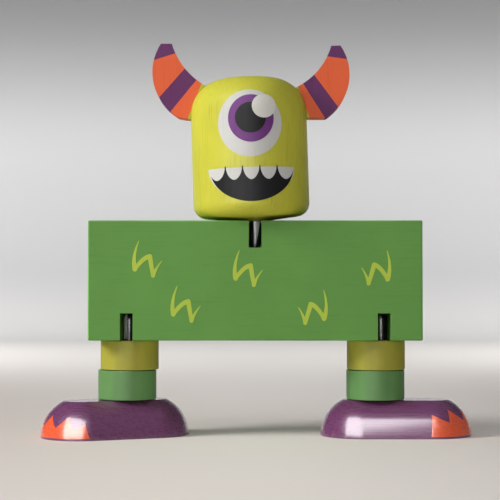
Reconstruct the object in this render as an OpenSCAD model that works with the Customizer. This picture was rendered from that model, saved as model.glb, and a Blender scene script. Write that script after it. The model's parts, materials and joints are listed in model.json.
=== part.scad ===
// One-eyed wooden monster figure strung on round black elastic.
// A block torso carries a turned head with two horns and two legs of
// stacked rings and feet. Each limb hangs on its own knotted elastic,
// which leaves the torso through a slot, so the limb folds up against
// the front face and turns freely about its cord.
// Millimetres. Z is up, the soles rest on z = 0, the face looks to -Y.

/* [Torso] */
// Width of the block
torso_w = 113; // [90:1:150]
// Front-to-back depth of the block
torso_d = 26; // [22:0.5:40]
// Height of the block
torso_h = 40.6; // [32:0.2:60]
// Rounding of the block's edges, which the limbs roll over
edge_r = 0.6; // [0.3:0.1:2]

/* [Elastic] */
// Diameter of the elastic cord
cord_d = 4; // [3:0.1:5]
// Gap on each side of the cord in its slots and bores
cord_clear = 0.15; // [0.1:0.05:0.4]
// Height of each slot in the front face
slot_h = 9.2; // [8:0.2:12]
// Distance of the leg slots from the middle
leg_x = 43.5; // [34:0.5:46]
// Diameter of the knots at the cords' ends
knot_d = 6.8; // [6:0.2:8]

/* [Legs] */
// Diameter of the thigh and shin rings
ring_d = 20; // [17:0.5:24]
// Height of each ring
ring_h = 10; // [8:0.2:14]
// Bore of the rings, wide enough to let them shift on the cord
ring_bore_d = 9.2; // [8:0.2:11]
// Sideways rest position of the left thigh ring on its cord
thigh_shift_left = 0.1; // [-2:0.1:2]
// Sideways rest position of the left shin ring on its cord
shin_shift_left = -0.7; // [-2:0.1:2]
// Sideways rest position of the right thigh ring on its cord
thigh_shift_right = -1.8; // [-2:0.1:2]
// Sideways rest position of the right shin ring on its cord
shin_shift_right = -2; // [-2:0.1:2]

/* [Feet] */
// Length of a foot from heel to toe
foot_l = 52; // [44:1:60]
// Width of a foot
foot_w = 28; // [24:0.5:34]
// Height of a foot
foot_h = 12.4; // [11.4:0.2:18]
// How far the rounded side leans in from sole to top
foot_lean_in = 7.8; // [5:0.2:9]
// Distance of the cord from the foot's middle, towards the heel
ankle_back = 5; // [0:0.5:9]
// Turn of the left foot towards the front
foot_turn_left = 24; // [0:1:60]
// Turn of the right foot towards the front
foot_turn_right = 0; // [0:1:60]

/* [Head] */
// Diameter of the turned head
head_d = 40.2; // [34:0.2:50]
// Height of the head
head_h = 49.3; // [42:0.1:60]
// Rounding of the head's upper edge
crown_r = 12; // [6:0.5:13]
// Rounding of the head's lower edge
jaw_r = 4.5; // [2:0.5:6]
// Rise of the underside from its middle to the jaw
jaw_rise = 1.3; // [0.4:0.1:1.5]
// Sideways lean of the head at rest
head_lean = 1.8; // [0:0.1:3]
// Sideways rest position of the head on its cord
head_shift = -1.1; // [-1.5:0.1:1.5]
// Thickness of the horn plates
horn_t = 7; // [5:0.5:9]

/* [Hidden] */

$fn = 64;
eps = 1;
limb_gap = 0.2;
head_gap = 0.3;
plug_t = 2;
plug_clear = 0.03;
knot_clear = 0.2;
seam_gap = 0.1;

cord_r = cord_d / 2;
bore_r = cord_r + cord_clear;
bend_inner_r = 0.4;
bend_r = cord_r + bend_inner_r;
knot_r = knot_d / 2;
knot_core_r = knot_r - 2 * knot_clear;
knot_tilt = 35;
knot_wrap = 0.55;
knot_wrap_r = knot_r * knot_wrap;
chamber_r = knot_r + 3 * knot_clear;
chamber_l = plug_t + knot_d + 2 * knot_clear;
axis_h = slot_h - bore_r;
half_d = torso_d / 2;

shin_z = foot_h + limb_gap;
thigh_z = shin_z + ring_h + limb_gap;
torso_z = thigh_z + ring_h + limb_gap;
torso_top = torso_z + torso_h;
chin_z = torso_top + head_gap;

ring_edge_r = edge_r / 2;

foot_end_r = foot_w / 2;
foot_core = foot_l - foot_w;
foot_arc_r = (pow(foot_lean_in, 2) + pow(foot_h, 2)) / (2 * foot_lean_in);

head_r = head_d / 2;
head_bore_r = bore_r + abs(head_shift);
head_chamber_r = chamber_r + abs(head_shift);
chin_r = 5;
head_chamber_z = head_h - chamber_l;
head_shoulder = head_h - crown_r;

// Each horn is the part of one circle left outside another, placed from
// the head's upper corner as [out, up, radius] for the left and the right
horn_outer = [[-5.2, 2.7, 17.9], [-2.5, 0.8, 17.7]];
horn_inner = [[-18.5, 19.3, 25], [-12.8, 17.5, 23.1]];
// The flat tip and underside of each horn: [out, up, slope in degrees]
horn_tip = [[9, 13, 2], [11, 10.4, 0]];
horn_base = [[0, -13.4, 10], [0, -14.2, -2]];
// How far each horn's root reaches in from the head's side
horn_root_in = 11.1;

green = [0.33, 0.56, 0.27];
lime = [0.77, 0.76, 0.25];
leaf = [0.36, 0.64, 0.33];
purple = [0.42, 0.2, 0.43];
orange = [0.93, 0.42, 0.22];
black = [0.08, 0.08, 0.09];

// ---- shared shapes -------------------------------------------------

module rounded_rect(w, h, r) {
    square([w - 2 * r, h], center = true);
    square([w, h - 2 * r], center = true);
    for (sx = [-1, 1], sz = [-1, 1])
        translate([sx * (w / 2 - r), sz * (h / 2 - r)])
            circle(r);
}

module knot_lump() {
    sphere(r = knot_core_r);
    rotate([knot_tilt, 0, 0])
        rotate_extrude()
            translate([knot_wrap_r, 0])
                circle(knot_r - knot_wrap_r);
}

// A bore, chamber and slot for one limb, measured from the point where
// the cord leaves the face, with the limb hanging down
module limb_cut() {
    translate([-bore_r, -half_d - eps, -eps])
        cube([2 * bore_r, half_d + eps + bore_r, slot_h + eps]);
    translate([0, 0, axis_h])
        rotate([-90, 0, 0])
            cylinder(r = bore_r, h = half_d);
    translate([0, half_d - chamber_l, axis_h])
        rotate([-90, 0, 0])
            cylinder(r = chamber_r, h = chamber_l + eps);
}

module torso_knot() {
    translate([0, bend_r, axis_h])
        rotate([-90, 0, 0])
            cylinder(r = cord_r, h = half_d - chamber_l + knot_r - bend_r);
    translate([0, half_d - chamber_l + knot_clear + knot_r, axis_h])
        rotate([-90, 0, 0])
            knot_lump();
}

module torso_plug() {
    translate([0, half_d - plug_t, axis_h])
        rotate([-90, 0, 0])
            cylinder(r = chamber_r - plug_clear, h = plug_t);
}

// The stretch of elastic in the slot: round the inner corner and down
// to the face the limb sits on
module slot_elastic(gap) {
    translate([0, 0, -gap])
        cylinder(r = cord_r, h = axis_h - bend_r + gap);
    translate([0, bend_r, axis_h - bend_r])
        rotate([90, 0, -90])
            rotate_extrude(angle = 90)
                translate([bend_r, 0])
                    circle(cord_r);
}

module at_leg(side) {
    translate([side * leg_x, 0, torso_z])
        children();
}

module at_neck() {
    translate([0, 0, torso_top])
        rotate([0, 180, 0])
            children();
}

// ---- torso ---------------------------------------------------------

module torso() {
    color(green)
        difference() {
            intersection() {
                translate([-torso_w / 2, 0, torso_z + torso_h / 2])
                    rotate([90, 0, 90])
                        linear_extrude(torso_w)
                            rounded_rect(torso_d, torso_h, edge_r);
                translate([0, half_d, torso_z + torso_h / 2])
                    rotate([90, 0, 0])
                        linear_extrude(torso_d)
                            rounded_rect(torso_w, torso_h, edge_r);
                translate([0, 0, torso_z])
                    linear_extrude(torso_h)
                        rounded_rect(torso_w, torso_d, edge_r);
            }
            for (side = [-1, 1])
                at_leg(side)
                    limb_cut();
            at_neck()
                limb_cut();
        }
}

module neck_torso_knot() {
    color(black)
        at_neck()
            torso_knot();
}

module left_torso_knot() {
    color(black)
        at_leg(-1)
            torso_knot();
}

module right_torso_knot() {
    color(black)
        at_leg(1)
            torso_knot();
}

module neck_torso_plug() {
    color(green)
        at_neck()
            torso_plug();
}

module left_torso_plug() {
    color(green)
        at_leg(-1)
            torso_plug();
}

module right_torso_plug() {
    color(green)
        at_leg(1)
            torso_plug();
}

module neck_elastic() {
    color(black)
        at_neck()
            slot_elastic(head_gap);
}

module left_hip_elastic() {
    color(black)
        at_leg(-1)
            slot_elastic(limb_gap);
}

module right_hip_elastic() {
    color(black)
        at_leg(1)
            slot_elastic(limb_gap);
}

// ---- legs ----------------------------------------------------------

module ring(x, z, shift) {
    translate([x + shift, 0, z])
        rotate_extrude()
            difference() {
                translate([ring_d / 4, ring_h / 2])
                    rounded_rect(ring_d / 2, ring_h, ring_edge_r);
                translate([-eps, -eps])
                    square([ring_bore_d / 2 + eps, ring_h + 2 * eps]);
            }
}

module leg_cord(side) {
    translate([side * leg_x, 0, chamber_l - knot_clear - knot_r])
        cylinder(r = cord_r, h = torso_z - limb_gap - chamber_l + knot_clear + knot_r);
}

module foot_knot(side) {
    translate([side * leg_x, 0, chamber_l - knot_clear - knot_r])
        difference() {
            knot_lump();
            cylinder(r = cord_r, h = knot_d);
        }
}

module foot_plug(side) {
    translate([side * leg_x, 0, 0])
        cylinder(r = chamber_r - plug_clear, h = plug_t);
}

module foot_profile() {
    intersection() {
        translate([foot_end_r - foot_arc_r, 0])
            circle(foot_arc_r, $fn = 128);
        square([foot_end_r, foot_h]);
    }
}

// The foot lies along X with its toe at +X and the cord at the origin
module foot_body() {
    difference() {
        translate([ankle_back, 0, 0]) {
            translate([-foot_core / 2, 0, 0])
                rotate([0, 0, 90])
                    rotate_extrude(angle = 180)
                        foot_profile();
            translate([foot_core / 2, 0, 0])
                rotate([0, 0, -90])
                    rotate_extrude(angle = 180)
                        foot_profile();
            translate([-foot_core / 2, 0, 0])
                rotate([90, 0, 90])
                    linear_extrude(foot_core) {
                        foot_profile();
                        mirror([1, 0])
                            foot_profile();
                    }
        }
        translate([0, 0, -eps])
            cylinder(r = bore_r, h = foot_h + 2 * eps);
        translate([0, 0, -eps])
            cylinder(r = chamber_r, h = chamber_l + eps);
    }
}

module left_leg_cord() {
    color(black)
        leg_cord(-1);
}

module left_foot_knot() {
    color(black)
        foot_knot(-1);
}

module left_thigh() {
    color(lime)
        ring(-leg_x, thigh_z, thigh_shift_left);
}

module left_shin() {
    color(leaf)
        ring(-leg_x, shin_z, shin_shift_left);
}

module left_foot() {
    color(purple)
        translate([-leg_x, 0, 0])
            rotate([0, 0, 180 + foot_turn_left])
                foot_body();
}

module left_foot_plug() {
    color(purple)
        foot_plug(-1);
}

module right_leg_cord() {
    color(black)
        leg_cord(1);
}

module right_foot_knot() {
    color(black)
        foot_knot(1);
}

module right_thigh() {
    color(lime)
        ring(leg_x, thigh_z, thigh_shift_right);
}

module right_shin() {
    color(leaf)
        ring(leg_x, shin_z, shin_shift_right);
}

module right_foot() {
    color(purple)
        translate([leg_x, 0, 0])
            rotate([0, 0, -foot_turn_right])
                foot_body();
}

module right_foot_plug() {
    color(purple)
        foot_plug(1);
}

// ---- head ----------------------------------------------------------

module on_neck() {
    translate([0, 0, chin_z])
        rotate([0, -head_lean, 0])
            children();
}

module at_head() {
    on_neck()
        translate([head_shift, 0, 0])
            children();
}

// Half outline of the head; grow widens it evenly for the horns' seam
module head_profile(grow) {
    jaw_z = jaw_rise + jaw_r;
    polygon([
        [0, 0],
        [chin_r, 0],
        [head_r - jaw_r, jaw_rise],
        [head_r - jaw_r, jaw_z],
        [head_r + grow, jaw_z],
        [head_r + grow, head_shoulder],
        [head_r - crown_r, head_shoulder],
        [head_r - crown_r, head_h + grow],
        [0, head_h + grow]
    ]);
    translate([head_r - crown_r, head_shoulder])
        circle(crown_r + grow, $fn = 96);
    translate([head_r - jaw_r, jaw_z])
        circle(jaw_r);
}

module head() {
    color(lime)
        at_head()
            difference() {
                rotate_extrude()
                    intersection() {
                        head_profile(0);
                        square([head_r, head_h]);
                    }
                translate([0, 0, -eps])
                    cylinder(r = head_bore_r, h = head_h);
                translate([0, 0, head_chamber_z])
                    cylinder(r = head_chamber_r, h = chamber_l + eps);
            }
}

module horn_circle(c) {
    translate([head_r + c[0], head_h + c[1]])
        circle(c[2], $fn = 128);
}

module horn_line(line) {
    translate([head_r + line[0], head_h + line[1]])
        rotate(line[2])
            children();
}

// Outline of a horn that reaches out along +X
module horn_profile(i) {
    difference() {
        intersection() {
            horn_circle(horn_outer[i]);
            translate([head_r - horn_root_in, 0])
                square([head_d, 2 * head_h]);
            horn_line(horn_tip[i])
                translate([-head_d, -2 * head_d])
                    square(2 * head_d);
            horn_line(horn_base[i])
                translate([-head_d, 0])
                    square(2 * head_d);
        }
        horn_circle(horn_inner[i]);
    }
}

module horn(i) {
    difference() {
        translate([0, horn_t / 2, 0])
            rotate([90, 0, 0])
                linear_extrude(horn_t)
                    horn_profile(i);
        rotate_extrude()
            intersection() {
                head_profile(seam_gap);
                square([head_d, 2 * head_h]);
            }
    }
}

module left_horn() {
    color(orange)
        at_head()
            mirror([1, 0, 0])
                horn(0);
}

module right_horn() {
    color(orange)
        at_head()
            horn(1);
}

// The leaning cord meets the upright one in the slot on a level cut
module neck_cord() {
    color(black)
        difference() {
            on_neck()
                translate([0, 0, -eps])
                    cylinder(r = cord_r, h = head_chamber_z + knot_clear + knot_r + eps);
            translate([-cord_d, -cord_d, chin_z - 2 * eps])
                cube([2 * cord_d, 2 * cord_d, 2 * eps]);
        }
}

module head_knot() {
    color(black)
        on_neck()
            translate([0, 0, head_chamber_z + knot_clear + knot_r])
                difference() {
                    knot_lump();
                    translate([0, 0, -knot_d])
                        cylinder(r = cord_r, h = knot_d);
                }
}

module head_plug() {
    color(lime)
        at_head()
            translate([0, 0, head_h - plug_t])
                cylinder(r = head_chamber_r - plug_clear, h = plug_t);
}

torso();
neck_torso_knot();
left_torso_knot();
right_torso_knot();
neck_torso_plug();
left_torso_plug();
right_torso_plug();
neck_elastic();
left_hip_elastic();
right_hip_elastic();
neck_cord();
head_knot();
head();
left_horn();
right_horn();
head_plug();
left_leg_cord();
left_foot_knot();
left_thigh();
left_shin();
left_foot();
left_foot_plug();
right_leg_cord();
right_foot_knot();
right_thigh();
right_shin();
right_foot();
right_foot_plug();
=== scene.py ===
"""Looks of the painted one-eyed wooden figure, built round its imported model.

Lengths are in metres in the shared frame unless a name ends in _mm. The head's
paint is laid out in the head's own frame: x across, z up its axis from the chin.
"""

import json
import math

import bmesh
import bpy
from mathutils import Matrix, Vector


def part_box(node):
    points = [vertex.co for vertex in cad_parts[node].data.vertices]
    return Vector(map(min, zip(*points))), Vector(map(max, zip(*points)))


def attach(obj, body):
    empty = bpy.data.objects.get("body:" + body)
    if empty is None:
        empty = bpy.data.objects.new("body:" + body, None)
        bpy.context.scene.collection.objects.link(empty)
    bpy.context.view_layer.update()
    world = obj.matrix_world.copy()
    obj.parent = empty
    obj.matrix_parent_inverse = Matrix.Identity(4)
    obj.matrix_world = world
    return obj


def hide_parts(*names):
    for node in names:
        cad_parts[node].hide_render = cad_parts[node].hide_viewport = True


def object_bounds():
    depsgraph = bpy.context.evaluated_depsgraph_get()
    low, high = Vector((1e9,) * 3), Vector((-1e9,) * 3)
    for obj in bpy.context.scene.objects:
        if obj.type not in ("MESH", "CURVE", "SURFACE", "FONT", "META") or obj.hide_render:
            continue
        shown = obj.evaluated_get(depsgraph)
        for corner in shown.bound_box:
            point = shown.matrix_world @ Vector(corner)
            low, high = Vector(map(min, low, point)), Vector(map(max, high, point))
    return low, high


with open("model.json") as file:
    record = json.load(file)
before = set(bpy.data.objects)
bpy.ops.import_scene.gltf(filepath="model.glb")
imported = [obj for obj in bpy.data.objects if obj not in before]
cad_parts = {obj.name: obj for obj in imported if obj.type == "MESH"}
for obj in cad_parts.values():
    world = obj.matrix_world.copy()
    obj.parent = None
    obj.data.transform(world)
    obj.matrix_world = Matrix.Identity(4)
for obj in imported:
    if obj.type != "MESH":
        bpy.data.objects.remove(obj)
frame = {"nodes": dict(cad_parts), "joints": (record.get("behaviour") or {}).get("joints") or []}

cad_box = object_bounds()
nodes = frame["nodes"]
joints = {j["name"]: j for j in frame["joints"]}
MM = 0.001
PAINT = 0.05 * MM  # how far a painted mark stands proud
WELD = 1e-7


# ---- the frame's own places ------------------------------------------

def joint_frame(name):
    """A joint's rest frame: its point, Z along its axis, Y level."""
    up = Vector(joints[name]["axis"]).normalized()
    right = Vector((0, 1, 0)).cross(up).normalized()
    place = Matrix((right, up.cross(right), up)).transposed().to_4x4()
    place.translation = Vector(joints[name]["pos_m"])
    return place


def extent(node, place):
    """Lowest and highest corner of a CAD node, measured in another frame."""
    inverse = place.inverted()
    points = [inverse @ v.co for v in nodes[node].data.vertices]
    low = Vector([min(p[i] for p in points) for i in range(3)])
    high = Vector([max(p[i] for p in points) for i in range(3)])
    return low, high


NECK = joint_frame("head_turn")
head_low, head_high = extent("head", NECK)
HEAD = NECK @ Matrix.Translation(((head_low.x + head_high.x) / 2, 0, 0))
HEAD_R = (head_high.x - head_low.x) / 2
HEAD_H = head_high.z
CROWN_R = 12 * MM
torso_low, torso_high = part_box("torso")
CORD_R = (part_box("left_leg_cord")[1].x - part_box("left_leg_cord")[0].x) / 2


# ---- mesh helpers ----------------------------------------------------

def weigh_normals(mesh):
    """Leaves flat faces flat and puts the shading's turn into the roundings."""
    sums = [Vector() for vertex in mesh.vertices]
    for face in mesh.polygons:
        for index in face.vertices:
            sums[index] += face.normal * face.area
    mesh.normals_split_custom_set_from_vertices([total.normalized() for total in sums])


def add_mesh(name, bm, body, materials, weighed=False):
    """A new piece from a bmesh, riding on a body."""
    mesh = bpy.data.meshes.new(name)
    bmesh.ops.recalc_face_normals(bm, faces=bm.faces)
    bm.to_mesh(mesh)
    bm.free()
    for material in materials:
        mesh.materials.append(material)
    mesh.shade_smooth()
    if weighed:
        weigh_normals(mesh)
    else:
        mesh.set_sharp_from_angle(angle=math.radians(40))
    piece = bpy.data.objects.new(name, mesh)
    bpy.context.scene.collection.objects.link(piece)
    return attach(piece, body)


def thin_solid(bm, outer, inner):
    """A closed thin solid between two grids of points that match."""
    columns, rows = len(outer), len(outer[0])
    top = [[bm.verts.new(p) for p in column] for column in outer]
    low = [[bm.verts.new(p) for p in column] for column in inner]
    for i in range(columns - 1):
        for j in range(rows - 1):
            bm.faces.new((top[i][j], top[i + 1][j], top[i + 1][j + 1], top[i][j + 1]))
            bm.faces.new((low[i][j], low[i][j + 1], low[i + 1][j + 1], low[i + 1][j]))
        for j in (0, rows - 1):
            bm.faces.new((top[i][j], low[i][j], low[i + 1][j], top[i + 1][j]))
    for j in range(rows - 1):
        for i in (0, columns - 1):
            bm.faces.new((top[i][j], top[i][j + 1], low[i][j + 1], low[i][j]))


def weld(bm):
    bmesh.ops.remove_doubles(bm, verts=bm.verts, dist=WELD)
    bmesh.ops.dissolve_degenerate(bm, edges=bm.edges, dist=WELD)


def lathe(bm, profile, place, segments=96):
    """Turns an outline of (radius, height) points about a frame's Z axis."""
    rings = []
    for radius, height in profile:
        ring = []
        for k in range(segments):
            turn = 2 * math.pi * k / segments
            point = Vector((radius * math.cos(turn), radius * math.sin(turn), height))
            ring.append(bm.verts.new(place @ point))
        rings.append(ring)
    for a, b in zip(rings, rings[1:]):
        for k in range(segments):
            n = (k + 1) % segments
            bm.faces.new((a[k], a[n], b[n], b[k]))
    weld(bm)


def sharp_edges(bm, degrees):
    angle = math.radians(degrees)
    return [e for e in bm.edges if e.is_manifold and e.calc_face_angle(0) > angle]


def clean_copy(node):
    """A CAD node's own shape with its flat faces in one piece each."""
    bm = bmesh.new()
    bm.from_mesh(nodes[node].data)
    bmesh.ops.remove_doubles(bm, verts=bm.verts, dist=1e-6)
    bmesh.ops.dissolve_limit(
        bm, angle_limit=math.radians(0.4), verts=bm.verts, edges=bm.edges
    )
    return bm


def round_off(bm, edges, width, steps):
    bmesh.ops.bevel(
        bm, geom=edges, offset=width, segments=steps, profile=0.5, affect="EDGES",
        clamp_overlap=True,
    )


def soften(bm, width, steps=3):
    round_off(bm, sharp_edges(bm, 25), width, steps)


# ---- materials -------------------------------------------------------

def linear(rgb):
    """Linear colour from display values of 0 to 255."""
    def one(c):
        c = c / 255
        return c / 12.92 if c <= 0.04045 else ((c + 0.055) / 1.055) ** 2.4
    return (*[one(c) for c in rgb], 1.0)


class Shader:
    """A small builder for node trees round one Principled shader."""

    def __init__(self, name, roughness, specular, coat=0.0, coat_roughness=0.2):
        self.material = bpy.data.materials.new(name)
        self.material.use_nodes = True
        self.tree = self.material.node_tree
        self.surface = self.tree.nodes["Principled BSDF"]
        self.surface.inputs["Roughness"].default_value = roughness
        self.surface.inputs["Specular IOR Level"].default_value = specular
        self.surface.inputs["Coat Weight"].default_value = coat
        self.surface.inputs["Coat Roughness"].default_value = coat_roughness
        self.places = self.tree.nodes.new("ShaderNodeTexCoord")

    def link(self, source, target):
        self.tree.links.new(source, target)

    def axes(self, output):
        """The three parts of the object's own place or normal."""
        node = self.tree.nodes.new("ShaderNodeSeparateXYZ")
        self.link(self.places.outputs[output], node.inputs[0])
        return node.outputs

    def noise(self, scale, detail=3.0, roughness=0.5):
        """Noise stretched by a scale for each axis, in cycles a metre."""
        mapping = self.tree.nodes.new("ShaderNodeMapping")
        mapping.inputs["Scale"].default_value = scale
        self.link(self.places.outputs["Object"], mapping.inputs["Vector"])
        node = self.tree.nodes.new("ShaderNodeTexNoise")
        node.inputs["Scale"].default_value = 1.0
        node.inputs["Detail"].default_value = detail
        node.inputs["Roughness"].default_value = roughness
        self.link(mapping.outputs["Vector"], node.inputs["Vector"])
        return node.outputs["Fac"]

    def ramp(self, value, low, high, to_low=0.0, to_high=1.0):
        node = self.tree.nodes.new("ShaderNodeMapRange")
        node.interpolation_type = "SMOOTHSTEP"
        node.inputs["From Min"].default_value = low
        node.inputs["From Max"].default_value = high
        node.inputs["To Min"].default_value = to_low
        node.inputs["To Max"].default_value = to_high
        self.link(value, node.inputs["Value"])
        return node.outputs["Result"]

    def math(self, kind, a, b):
        node = self.tree.nodes.new("ShaderNodeMath")
        node.operation = kind
        for socket, value in zip(node.inputs, (a, b)):
            if isinstance(value, (int, float)):
                socket.default_value = value
            else:
                self.link(value, socket)
        return node.outputs[0]

    def mix(self, factor, a, b):
        node = self.tree.nodes.new("ShaderNodeMix")
        node.data_type = "RGBA"
        self.link(factor, node.inputs["Factor"])
        for socket, value in ((node.inputs["A"], a), (node.inputs["B"], b)):
            if isinstance(value, tuple):
                socket.default_value = value
            else:
                self.link(value, socket)
        return node.outputs["Result"]

    def bump(self, height, strength, distance):
        node = self.tree.nodes.new("ShaderNodeBump")
        node.inputs["Strength"].default_value = strength
        node.inputs["Distance"].default_value = distance
        self.link(height, node.inputs["Height"])
        return node.outputs["Normal"]

    def finish(self, colour, roughness, bump):
        self.link(colour, self.surface.inputs["Base Color"])
        self.link(roughness, self.surface.inputs["Roughness"])
        self.link(bump, self.surface.inputs["Normal"])
        return self.material


# How closely the grain's noise is packed across and along the wood, in cycles a metre
ACROSS = 1500.0
ALONG = 70.0
GRAIN = {"x": (ALONG, ACROSS, ACROSS), "z": (ACROSS, ACROSS, ALONG)}
PATCHES = (55.0,) * 3
PORES = (3200.0,) * 3


def shade(rgb, factor):
    return tuple(min(255, c * factor) for c in rgb)


def paint(name, rgb, grain="z", streak=0.176, tone=0.16, roughness=0.55, coat=0.0,
          coat_roughness=0.22, relief=0.25, wear_and_highlight=0.0, specular=0.05):
    """Satin paint over fine wood grain that runs along one axis.

    Streak is how strongly the darker grain lines show, tone how strongly the lighter
    patches do, and the edge setting how much the rounded edges go pale: partly rubbed
    paint, partly a painted highlight along the edges.
    """
    s = Shader(name, roughness, specular, coat, coat_roughness)
    fibres = s.noise(GRAIN[grain], 4.0, 0.6)
    patches = s.noise(PATCHES, 3.0, 0.55)
    pores = s.noise(PORES, 2.0, 0.5)
    lines = s.ramp(fibres, 0.52, 0.72)
    colour = s.mix(s.math("MULTIPLY", lines, streak), linear(rgb), linear(shade(rgb, 0.72)))
    lit = s.ramp(patches, 0.35, 0.75, 0.0, tone)
    colour = s.mix(lit, colour, linear(shade(rgb, 1.18)))
    # Pale rounded edges: partly rubbed paint, partly a painted highlight on every edge.
    if wear_and_highlight:
        normal = s.axes("Normal")
        sides = [s.math("ABSOLUTE", normal[i], 0) for i in range(3)]
        flat = s.math("MAXIMUM", s.math("MAXIMUM", sides[0], sides[1]), sides[2])
        rim = s.ramp(flat, 0.86, 0.98, 1.0, 0.0)
        pale_amount = s.math("MULTIPLY", rim, s.ramp(patches, 0.3, 0.62, 0.3, 1.0))
        pale_amount = s.math("MULTIPLY", pale_amount, wear_and_highlight)
        colour = s.mix(pale_amount, colour, linear(shade(rgb, 1.45)))
    rough = s.ramp(fibres, 0.25, 0.8, roughness - 0.07, roughness + 0.12)
    height = s.math("ADD", s.math("MULTIPLY", fibres, 0.8), s.math("MULTIPLY", pores, 0.3))
    return s.finish(colour, rough, s.bump(height, relief, 0.12 * MM))


ELASTIC_BLACK = (24, 24, 26)
ELASTIC_ROUGHNESS = 0.28


def painted_reflection_line(s, lines, left, right, top, length, narrowing):
    """How strongly a painted reflection shows as a pale line down a cord's front, from its
    places in mm.
    """
    x, y, z = s.axes("Object")
    below = s.math("SUBTRACT", top * MM, z)
    shifted = s.math("ADD", x, s.math("MULTIPLY", below, narrowing))
    line = s.math("MULTIPLY", s.ramp(x, (left - 0.15) * MM, (left + 0.15) * MM),
                  s.ramp(shifted, (right - 0.2) * MM, (right + 0.2) * MM, 1.0, 0.0))
    ends = s.math("MULTIPLY", s.ramp(below, 0, 0.5 * MM),
                  s.ramp(below, (length - 0.9) * MM, length * MM, 1.0, 0.0))
    front = s.math("LESS_THAN", y, 0.0)
    pale_amount = s.math("MULTIPLY", s.math("MULTIPLY", line, ends), front)
    return s.math("MULTIPLY", pale_amount, s.ramp(lines, 0.3, 0.6, 0.8, 1.0))


def rubber(name, reflection_line=None, pale=None):
    """Smooth black elastic, with a painted reflection as a pale line down it where its places
    are given.
    """
    s = Shader(name, ELASTIC_ROUGHNESS, 0.6, 0.35, 0.1)
    lines = s.noise((1400.0, 1400.0, 160.0), 3.0, 0.6)
    colour = s.mix(s.ramp(lines, 0.4, 0.75), linear(ELASTIC_BLACK),
                   linear(shade(ELASTIC_BLACK, 1.5)))
    # A painted reflection: a pale line down the cord's front that stands in for a lamp's
    # highlight.
    if reflection_line:
        colour = s.mix(painted_reflection_line(s, lines, **reflection_line), colour, linear(pale))
    rough = s.ramp(lines, 0.3, 0.75, ELASTIC_ROUGHNESS - 0.05, ELASTIC_ROUGHNESS + 0.12)
    return s.finish(colour, rough, s.bump(lines, 0.12, 0.06 * MM))


# The rings' rounded edges go a little pale: rubbed paint and a painted highlight.
RING = dict(wear_and_highlight=0.2, specular=0.1)
GLOSS = dict(grain="x", tone=0.2, roughness=0.28, coat=0.9, coat_roughness=0.14,
             relief=0.2, specular=0.45)
FACE = dict(roughness=0.42, relief=0.12)

# The torso's rounded edges go pale: rubbed paint and a painted highlight.
torso_green = paint("torso_green", (96, 146, 70), grain="x", streak=0.132, roughness=0.6,
                    relief=0.12, wear_and_highlight=0.5)
head_lime = paint("head_lime", (196, 194, 66), streak=0.308, tone=0.2, roughness=0.42,
                  specular=0.14)
thigh_lime = paint("thigh_lime", (156, 152, 58), **RING)
shin_green = paint("shin_green", (91, 132, 77), roughness=0.5, coat=0.1, **RING)
foot_purple = paint("foot_purple", (108, 54, 98), streak=0.22, **GLOSS)
claw_orange = paint("claw_orange", (236, 92, 48), streak=0.44, **GLOSS)
horn_orange = paint("horn_orange", (224, 97, 56))
horn_purple = paint("horn_purple", (96, 46, 94), streak=0.264)
horn_lime = paint("horn_lime", (176, 180, 52), streak=0.22)
mark_lime = paint("mark_lime", (174, 194, 72), streak=0.11, tone=0.1)
eye_white = paint("eye_white", (206, 206, 203), streak=0.11, tone=0.06, specular=0.08,
                  **FACE)
glint_white = paint("glint_white", (222, 222, 214), streak=0.11, tone=0.06, coat=0.05,
                    specular=0.1, **FACE)
iris_purple = paint("iris_purple", (112, 60, 126), streak=0.264, tone=0.24,
                    specular=0.06, **FACE)
paint_black = paint("paint_black", (34, 34, 36), streak=0.22, tone=0.1, **FACE)
elastic = rubber("elastic")


def dress(node, material):
    """Gives a carried-over CAD node its finish."""
    mesh = nodes[node].data
    mesh.materials.clear()
    mesh.materials.append(material)


# ---- torso -----------------------------------------------------------

TORSO_EDGE = 0.35 * MM

block = clean_copy("torso")
soften(block, TORSO_EDGE)
torso = add_mesh("torso_block", block, "torso", [torso_green], weighed=True)
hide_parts("torso")

for limb in ("neck", "left", "right"):
    dress(f"{limb}_torso_plug", torso_green)
    dress(f"{limb}_torso_knot", elastic)

# One tuft of painted fur: its four strokes as start, bend and end, in mm
TUFT_MM = [
    ((0, 0), (-2.3, -5.4), (-1.3, -9.5)),
    ((-1.3, -9.5), (1.6, -5.4), (3.75, -5.2)),
    ((3.75, -5.2), (4.3, -8.6), (4.85, -11.7)),
    ((4.85, -11.7), (5.9, -8.9), (7.8, -6.75)),
]
# Half widths in mm at each stroke's start and end
TUFT_WIDTH_MM = [(0.1, 0.8), (0.64, 0.78), (0.8, 0.64), (0.7, 0.1)]
# Each tuft: side its tail points to, turn in degrees, x and depth below the top
TUFTS = [
    (1, 0, -39.3, 7.0), (1, 0, -5.3, 10.1), (1, 0, -26.3, 22.2),
    (-1, -7, 23.1, 23.6), (-1, -7, 44.5, 10.3),
]


def bend_point(stroke, t):
    """A point and direction on a stroke's quadratic curve."""
    a, b, c = (Vector(p) for p in stroke)
    point = a * (1 - t) ** 2 + b * 2 * t * (1 - t) + c * t * t
    along = (b - a) * (1 - t) + (c - b) * t
    return point, along.normalized()


def stroke_columns(stroke, widths, steps=14, cap=5):
    """Left and right edge points along a brush stroke with rounded ends."""
    columns = []
    stations = [(0, k / cap - 1) for k in range(cap)]
    stations += [(k / steps, 0) for k in range(steps + 1)]
    stations += [(1, (k + 1) / cap) for k in range(cap)]
    for t, past in stations:
        point, along = bend_point(stroke, t)
        half = widths[0] + (widths[1] - widths[0]) * t ** 0.8
        middle = point + along * half * math.sin(past * math.pi / 2)
        reach = half * math.cos(past * math.pi / 2)
        side = Vector((-along.y, along.x)) * reach
        columns.append((middle - side, middle + side))
    return columns


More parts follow.
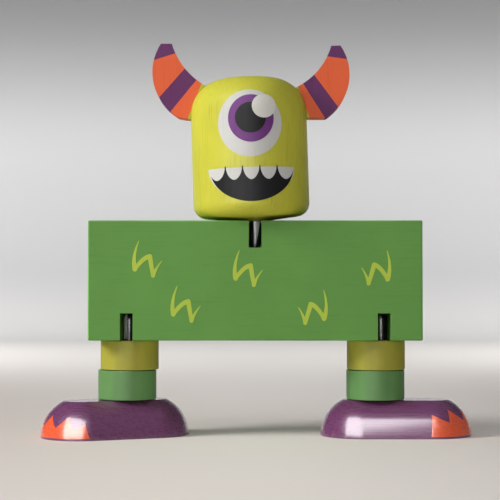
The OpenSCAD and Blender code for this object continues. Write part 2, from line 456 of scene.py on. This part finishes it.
def add_tuft(name, tail, turn, x_mm, depth_mm):
    bm = bmesh.new()
    spin = Matrix.Rotation(math.radians(turn), 2)
    for k, (stroke, widths) in enumerate(zip(TUFT_MM, TUFT_WIDTH_MM)):
        outer, inner = [], []
        for pair in stroke_columns(stroke, widths):
            points = []
            for p in pair:
                q = spin @ Vector((p.x * tail, p.y))
                points.append((x_mm * MM + q.x * MM, torso_high.z - depth_mm * MM + q.y * MM))
            level = torso_low.y - PAINT * (0.8 + 0.15 * k)
            outer.append([Vector((x, level, z)) for x, z in points])
            inner.append([Vector((x, torso_low.y + PAINT, z)) for x, z in points])
        thin_solid(bm, outer, inner)
    weld(bm)
    add_mesh(name, bm, "torso", [mark_lime])


for number, tuft in enumerate(TUFTS):
    add_tuft(f"fur_mark_{number + 1}", *tuft)


# ---- elastic ---------------------------------------------------------

CORD_SEGMENTS = 64


def ball_end(radius, centre, direction, steps=10):
    """Outline points of a rounded end that closes at the axis."""
    return [
        (radius * math.cos(a), centre + direction * radius * math.sin(a))
        for a in (math.pi / 2 * k / steps for k in range(steps + 1))
    ]


def add_slot_cord(name, body, cad_node, x, start, end, line, pale):
    """The stretch of elastic seen in a slot, from a limb to the bore behind."""
    # Where this cord's painted reflection, a pale line, runs
    reflection_line = dict(left=x / MM + line["left"], right=x / MM + line["right"],
                top=max(start, end) / MM - line["drop"], length=line["length"],
                narrowing=line["narrowing"])
    stuff = rubber(f"{name}_elastic", reflection_line, pale)
    bm = bmesh.new()
    way = 1 if end > start else -1
    place = Matrix.Translation((x, 0, 0))
    profile = [(0, start), (CORD_R, start)]
    profile += ball_end(CORD_R, end - way * CORD_R, way)
    lathe(bm, profile, place, CORD_SEGMENTS)
    piece = add_mesh(name, bm, body, [stuff])
    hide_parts(cad_node)


def add_bore_cord(name, x, height, back):
    """The stretch of elastic that turns into the torso's bore."""
    bm = bmesh.new()
    radius = CORD_R - PAINT
    place = Matrix.Translation((x, 0, height)) @ Matrix.Rotation(math.pi / 2, 4, "X")
    profile = [(0, -back), (radius, -back)] + ball_end(radius, 0, 1)
    lathe(bm, profile, place, CORD_SEGMENTS)
    add_mesh(name, bm, "torso", [elastic])


# The painted reflection line on each slot's cord, in mm: its edges from the cord's middle, its
# drop from the cord's top, its length, and how much it narrows for each mm on the way down
REFLECTION_LINES = {
    "left": dict(left=-1.9, right=-0.55, drop=0.2, length=9.0, narrowing=0.0),
    "right": dict(left=-0.65, right=0.15, drop=0.2, length=8.6, narrowing=0.0),
    "neck": dict(left=-0.5, right=1.75, drop=-0.3, length=10.0, narrowing=0.17),
}
# Colour of each cord's painted reflection line
PALE = {"left": (250, 248, 242), "right": (190, 172, 170), "neck": (240, 236, 242)}

for side in ("left", "right"):
    low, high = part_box(f"{side}_hip_elastic")
    middle = (low.x + high.x) / 2
    add_slot_cord(f"{side}_slot_cord", f"{side}_leg_cord", f"{side}_hip_elastic",
                  middle, low.z, high.z, REFLECTION_LINES[side], PALE[side])
    add_bore_cord(f"{side}_bore_cord", middle, high.z - CORD_R, high.y)
low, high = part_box("neck_elastic")
add_slot_cord("neck_slot_cord", "neck_cord", "neck_elastic", 0, high.z, low.z,
              REFLECTION_LINES["neck"], PALE["neck"])
add_bore_cord("neck_bore_cord", 0, low.z + CORD_R, high.y)

for node in ("neck_cord", "head_knot"):
    dress(node, elastic)
for side in ("left", "right"):
    dress(f"{side}_leg_cord", elastic)
    dress(f"{side}_foot_knot", elastic)


# ---- head ------------------------------------------------------------

dress("head", head_lime)
dress("head_plug", head_lime)


def head_radius(z):
    """Radius of the head's side at a height above the chin."""
    above = z - (HEAD_H - CROWN_R)
    if above <= 0:
        return HEAD_R
    return HEAD_R - CROWN_R + math.sqrt(max(CROWN_R ** 2 - above ** 2, 0))


def on_head(x, z, proud):
    """The point on the head's front at (x, z), seen straight on."""
    radius = head_radius(z) + proud
    return HEAD @ Vector((x, -math.sqrt(radius ** 2 - x ** 2), z))


def add_patch(name, columns, low, high, layer, material, rows=14):
    """A painted area of the face between two curves over x, in mm."""
    outer, inner = [], []
    for x in columns:
        bottom, top = low(x), high(x)
        zs = [bottom + (top - bottom) * j / rows for j in range(rows + 1)]
        outer.append([on_head(x * MM, z * MM, PAINT * layer) for z in zs])
        inner.append([on_head(x * MM, z * MM, PAINT * (layer - 2)) for z in zs])
    bm = bmesh.new()
    thin_solid(bm, outer, inner)
    weld(bm)
    add_mesh(name, bm, "head", [material])


def round_columns(x, half, steps=40):
    """Columns closer together towards both ends, for a round outline."""
    return [x - half * math.cos(math.pi * k / steps) for k in range(steps + 1)]


def add_ellipse(name, x, z, half_w, half_h, layer, material):
    def reach(at):
        return half_h * math.sqrt(max(1 - ((at - x) / half_w) ** 2, 0))
    add_patch(name, round_columns(x, half_w), lambda at: z - reach(at),
              lambda at: z + reach(at), layer, material)


add_ellipse("eye_white", 0.3, 32.0, 10.65, 11.3, 1, eye_white)
add_ellipse("iris", 0.7, 33.6, 7.65, 8.0, 2, iris_purple)
add_ellipse("pupil", 0.55, 33.8, 5.15, 5.15, 3, paint_black)
add_ellipse("eye_glint", 5.15, 37.6, 4.0, 4.0, 4, glint_white)

# The mouth's sizes and places in mm
MOUTH_X = 0.3
MOUTH_TOP = 17.2
MOUTH_DEPTH = 10.9
GAPE_LEFT = -13.9
GAPE_RIGHT = 14.2
GAPE_DEPTH = 11.4
TEETH = 5
TOOTH_W = 5.78
TOOTH_H = 4.1
TOOTH_GAP = 0.45
CUSP_H = 0.8
CUSP_HALF = 0.25
mouth_half = TOOTH_W * TEETH / 2
mouth_left = MOUTH_X - mouth_half
gaps = [mouth_left + TOOTH_W * k for k in range(1, TEETH)]


def bowl(left, right, depth, power=2.0):
    """Lower edge of a bowl shape that hangs from the mouth's top line."""
    middle, half = (left + right) / 2, (right - left) / 2
    def low(x):
        away = min(abs((x - middle) / half), 1)
        return MOUTH_TOP - depth * (1 - away ** power) ** (1 / power)
    return low


def cusps(x):
    """The top line, with a small point between each two teeth."""
    near = min(abs(x - gap) for gap in gaps)
    return MOUTH_TOP + CUSP_H * max(0, 1 - near / CUSP_HALF)


def flat_top(x):
    return MOUTH_TOP


def columns_between(left, right, steps):
    return round_columns((left + right) / 2, (right - left) / 2, steps)


rim_low = bowl(mouth_left, MOUTH_X + mouth_half, MOUTH_DEPTH)
add_patch("mouth_rim", round_columns(MOUTH_X, mouth_half, 60), rim_low, flat_top, 1,
          eye_white)
gape_left, gape_right = MOUTH_X + GAPE_LEFT, MOUTH_X + GAPE_RIGHT
gape_columns = columns_between(gape_left, gape_right, 60)
for gap in gaps:
    gape_columns += [gap + CUSP_HALF * k / 2 for k in (-2, -1, 0, 1, 2)]
add_patch("mouth_gape", sorted(gape_columns), bowl(gape_left, gape_right, GAPE_DEPTH),
          cusps, 2, paint_black)
for k in range(TEETH):
    left = mouth_left + TOOTH_W * k + TOOTH_GAP / 2
    right = left + TOOTH_W - TOOTH_GAP
    tooth_low = bowl(left, right, TOOTH_H, 1.8)
    add_patch(f"tooth_{k + 1}", columns_between(left, right, 24),
              lambda x: max(tooth_low(x), rim_low(x)), flat_top, 3,
              eye_white, 6)


# ---- horns -----------------------------------------------------------

# Where the painted bands change, root first: a line through two points (x, z) in mm
BANDS_MM = {
    "left": [((-20.6, 37.0), (-15.9, 48.2)), ((-26.9, 38.7), (-17.5, 49.5)),
             ((-30.7, 43.7), (-21.5, 53.5)), ((-32.2, 56.7), (-24.8, 58.8))],
    "right": [((20.9, 35.1), (17.3, 46.5)), ((26.0, 35.3), (19.0, 47.1)),
              ((30.9, 38.5), (23.3, 49.5)), ((34.2, 55.0), (27.7, 56.1))],
}
BAND_PAINTS = [horn_lime, horn_orange, horn_purple, horn_orange, horn_purple]
HORN_CORNER = 1.0 * MM
HORN_EDGE = 0.5 * MM


def band_cuts(side, way):
    """A point and an outward normal for each line where the horn's paint changes."""
    cuts = []
    for line in BANDS_MM[side]:
        a, b = (Vector((x * MM, 0, z * MM)) for x, z in line)
        normal = Vector((0, 1, 0)).cross(b - a).normalized()
        if normal.x * way + normal.z < 0:
            normal.negate()
        cuts.append((HEAD @ a, HEAD.to_3x3() @ normal))
    return cuts


def add_horn(side, way):
    bm = clean_copy(f"{side}_horn")
    corners = [
        e for e in sharp_edges(bm, 40)
        if abs((e.verts[0].co - e.verts[1].co).normalized().y) > 0.99
    ]
    round_off(bm, corners, HORN_CORNER, 5)
    soften(bm, HORN_EDGE)
    cuts = band_cuts(side, way)
    for point, normal in cuts:
        bmesh.ops.bisect_plane(
            bm, geom=bm.verts[:] + bm.edges[:] + bm.faces[:], dist=WELD,
            plane_co=point, plane_no=normal,
        )
    for face in bm.faces:
        centre = face.calc_center_median()
        face.material_index = sum((centre - p).dot(n) > 0 for p, n in cuts)
    horn = add_mesh(f"{side}_horn_plate", bm, "head", BAND_PAINTS, weighed=True)
    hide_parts(f"{side}_horn")


for side, way in (("left", -1), ("right", 1)):
    add_horn(side, way)


# ---- legs ------------------------------------------------------------

for side in ("left", "right"):
    dress(f"{side}_thigh", thigh_lime)
    dress(f"{side}_shin", shin_green)
    dress(f"{side}_foot_plug", foot_purple)

FOOT_LEAN = 7.8 * MM  # how far the foot's top stands in from its sole
FOOT_EDGE = 0.45 * MM
# Upper edge of the painted claws: way round the toe from its tip, and height, in mm
CLAWS_MM = {
    "left": [(0, 4.2), (3.8, 8.1), (7.9, 4.1), (12.7, 7.9), (14.9, 3.9), (18.9, 5.7),
             (20.5, 0.5)],
    "right": [(0, 5.6), (5, 9.4), (9, 5.9), (15.3, 9.6), (16.4, 5.3), (23.0, 8.0),
              (23.3, 0.5)],
}
SOLE_ROUND = 0.7 * MM
SOLE_MIDDLE = 7 * MM  # what lies nearer the cord is the plug's hole
CLAW_FOOT = 0.75  # the claws' lower edge, in mm above the floor
CLAW_ROWS = 8
CLAW_STEPS = 60


def foot_frame(side):
    """The foot's frame at its cord, with X to the toe; half width, toe and height."""
    pivot = Vector(joints[f"{side}_foot_turn"]["pos_m"])
    pivot.z = 0
    width = math.inf
    for half_degree in range(360):
        turn = Matrix.Rotation(math.radians(half_degree / 2), 4, "Z")
        trial = Matrix.Translation(pivot) @ turn
        corners = extent(f"{side}_foot", trial)
        across = corners[1].y - corners[0].y
        if across < width - WELD:
            width, place, (low, high) = across, trial, corners
    if high.x + low.x < 0:
        place = place @ Matrix.Rotation(math.pi, 4, "Z")
    return place, width / 2, max(high.x, -low.x), high.z


def height_on(line, s):
    for (s0, z0), (s1, z1) in zip(line, line[1:]):
        if s <= s1:
            return z0 + (z1 - z0) * (s - s0) / (s1 - s0)
    return line[-1][1]


def add_foot(side, place):
    bm = clean_copy(f"{side}_foot")
    sole = [
        e for e in sharp_edges(bm, 40)
        if all(v.co.z < PAINT and (v.co - place.translation).length > SOLE_MIDDLE
               for v in e.verts)
    ]
    round_off(bm, sole, SOLE_ROUND, 4)
    soften(bm, FOOT_EDGE)
    foot = add_mesh(f"{side}_foot_block", bm, f"{side}_foot", [foot_purple], weighed=True)
    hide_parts(f"{side}_foot")


def add_claws(side, place, half_w, toe, foot_h):
    """Painted claws: a thin skin on the toe, from one side of its tip to the other."""
    arc_r = (FOOT_LEAN ** 2 + foot_h ** 2) / (2 * FOOT_LEAN)
    centre = toe - half_w
    front_side = -1 if (place.to_3x3() @ Vector((0, -1, 0))).y < 0 else 1
    line = CLAWS_MM[side]
    reach = line[-1][0]
    stations = sorted({k * reach / CLAW_STEPS for k in range(CLAW_STEPS + 1)}
                      | {s for s, z in line})
    stations = [-s for s in reversed(stations) if s > 0] + stations
    skins = ([], [])
    for s in stations:
        turn = min(abs(s) * MM / half_w, math.pi / 2)
        past = max(abs(s) * MM - half_w * math.pi / 2, 0)
        way = front_side if s > 0 else -front_side
        high = max(height_on(line, abs(s)), CLAW_FOOT + 0.02)
        for skin, proud in zip(skins, (PAINT, -PAINT)):
            column = []
            for j in range(CLAW_ROWS + 1):
                z = (CLAW_FOOT + (high - CLAW_FOOT) * j / CLAW_ROWS) * MM
                radius = math.sqrt((arc_r + proud) ** 2 - z ** 2) - (arc_r - half_w)
                point = Vector((centre - past + radius * math.cos(turn),
                                way * radius * math.sin(turn), z))
                column.append(place @ point)
            skin.append(column)
    bm = bmesh.new()
    thin_solid(bm, *skins)
    weld(bm)
    claws = add_mesh(f"{side}_claws", bm, f"{side}_foot", [claw_orange])


for side in ("left", "right"):
    place, half_w, toe, foot_h = foot_frame(side)
    add_foot(side, place)
    add_claws(side, place, half_w, toe, foot_h)


# ---- floor, light and camera -----------------------------------------

# The stage's size: where it starts and bends up, its bend, top and half width
STAGE_FRONT, STAGE_BACK, STAGE_BEND, STAGE_TOP, STAGE_HALF = -1.6, 0.95, 0.25, 1.6, 2.2
STAGE_STEPS = 12
# The paper's colour at the stage's left end, darker as painted shade
STAGE_SHADED_LEFT = (204, 194, 188)
# Each change of the stage's colour, painted light and shade: axis, where it starts and ends,
# and what it becomes
STAGE_LIGHT_AND_SHADE = [
    ("X", -0.16, 0.02, (240, 233, 227)), ("X", 0.03, 0.2, (220, 209, 203)),
    ("Y", 0.0, 0.5, (249, 244, 239)), ("Y", 0.6, 1.1, (236, 234, 232)),
    ("Z", 0.0, 0.08, (205, 205, 206)), ("Z", 0.2, 0.42, (140, 141, 142)),
]


def stage_paper():
    s = Shader("stage_paper", 0.75, 0.2)
    axes = s.axes("Object")
    colour = linear(STAGE_SHADED_LEFT)
    # Painted light and shade: the paper's colour changes along each axis to stand in for the
    # lamps' fall-off.
    for axis, start, end, rgb in STAGE_LIGHT_AND_SHADE:
        colour = s.mix(s.ramp(axes[axis], start, end), colour, linear(rgb))
    grain = s.noise((30.0, 300.0, 300.0))
    return s.finish(colour, s.ramp(grain, 0.3, 0.7, 0.7, 0.8),
                    s.bump(grain, 0.05, 0.1 * MM))


def add_stage():
    """A pale floor that curves up into the backdrop."""
    line = [(STAGE_FRONT, 0)]
    for k in range(STAGE_STEPS + 1):
        a = math.pi / 2 * k / STAGE_STEPS
        line.append((STAGE_BACK + STAGE_BEND * math.sin(a), STAGE_BEND * (1 - math.cos(a))))
    line.append((STAGE_BACK + STAGE_BEND, STAGE_TOP))
    bm = bmesh.new()
    rows = [[bm.verts.new((x, y, z)) for x in (-STAGE_HALF, STAGE_HALF)] for y, z in line]
    for a, b in zip(rows, rows[1:]):
        bm.faces.new((a[0], a[1], b[1], b[0]))
    mesh = bpy.data.meshes.new("stage_floor")
    bm.to_mesh(mesh)
    bm.free()
    mesh.materials.append(stage_paper())
    mesh.shade_smooth()
    floor = bpy.data.objects.new("stage_floor", mesh)
    bpy.context.scene.collection.objects.link(floor)


def add_light(name, direction, distance, size, power, colour=(1, 1, 1), shine=True,
              fill=True, target=None):
    """A soft square light aimed at the middle of the figure or another target.

    Without shine it makes no highlights; without fill it makes nothing else.
    """
    light = bpy.data.lights.new(name, "AREA")
    light.shape = "SQUARE"
    light.size = size
    light.energy = power
    light.color = colour
    lamp = bpy.data.objects.new(name, light)
    middle = (cad_box[0] + cad_box[1]) / 2
    way = Vector(direction).normalized()
    lamp.location = (Vector(target) if target else middle) + way * distance
    lamp.rotation_mode = "QUATERNION"
    lamp.rotation_quaternion = way.to_track_quat("Z", "Y")
    lamp.visible_glossy = shine
    lamp.visible_diffuse = fill
    bpy.context.scene.collection.objects.link(lamp)


EYE_DISTANCE = 490.4 * MM
EYE_RISE = 16.4 * MM  # above the torso's underside
LENS_MM = 101.9
LOOK_UP, LOOK_LEFT = math.radians(1.70), math.radians(0.21)


def add_camera():
    data = bpy.data.cameras.new("camera")
    data.lens = LENS_MM
    data.sensor_width = 36
    data.clip_start = 0.01
    camera = bpy.data.objects.new("camera", data)
    camera.location = (0, -EYE_DISTANCE, torso_low.z + EYE_RISE)
    camera.rotation_euler = (math.pi / 2 + LOOK_UP, 0, LOOK_LEFT)
    bpy.context.scene.collection.objects.link(camera)
    bpy.context.scene.camera = camera


def add_world():
    world = bpy.data.worlds.new("studio")
    world.use_nodes = True
    background = world.node_tree.nodes["Background"]
    background.inputs["Color"].default_value = (0.95, 0.97, 1.0, 1)
    background.inputs["Strength"].default_value = 0.17
    bpy.context.scene.world = world


add_stage()
add_world()
add_light("key", (-0.86, -0.30, 0.42), 0.75, 0.24, 4.6, (1.0, 0.99, 0.96), shine=False)
add_light("skylight", (-0.05, -0.52, 0.85), 0.9, 0.55, 1.6, shine=False)
add_light("front", (-0.06, -1.0, 0.12), 0.7, 0.2, 0.36, shine=False)
add_light("window", (-0.33, -0.83, 0.45), 0.8, 0.85, 26.0, fill=False)
for side, way in (("left", -1), ("right", 1)):
    add_light(f"backdrop_{side}", (0.6 * way, -0.6, 0.2), 0.85, 0.4, 3.1, shine=False,
              target=(0, 1.15, 0.02))
add_camera()
bpy.context.scene.view_settings.view_transform = "Standard"
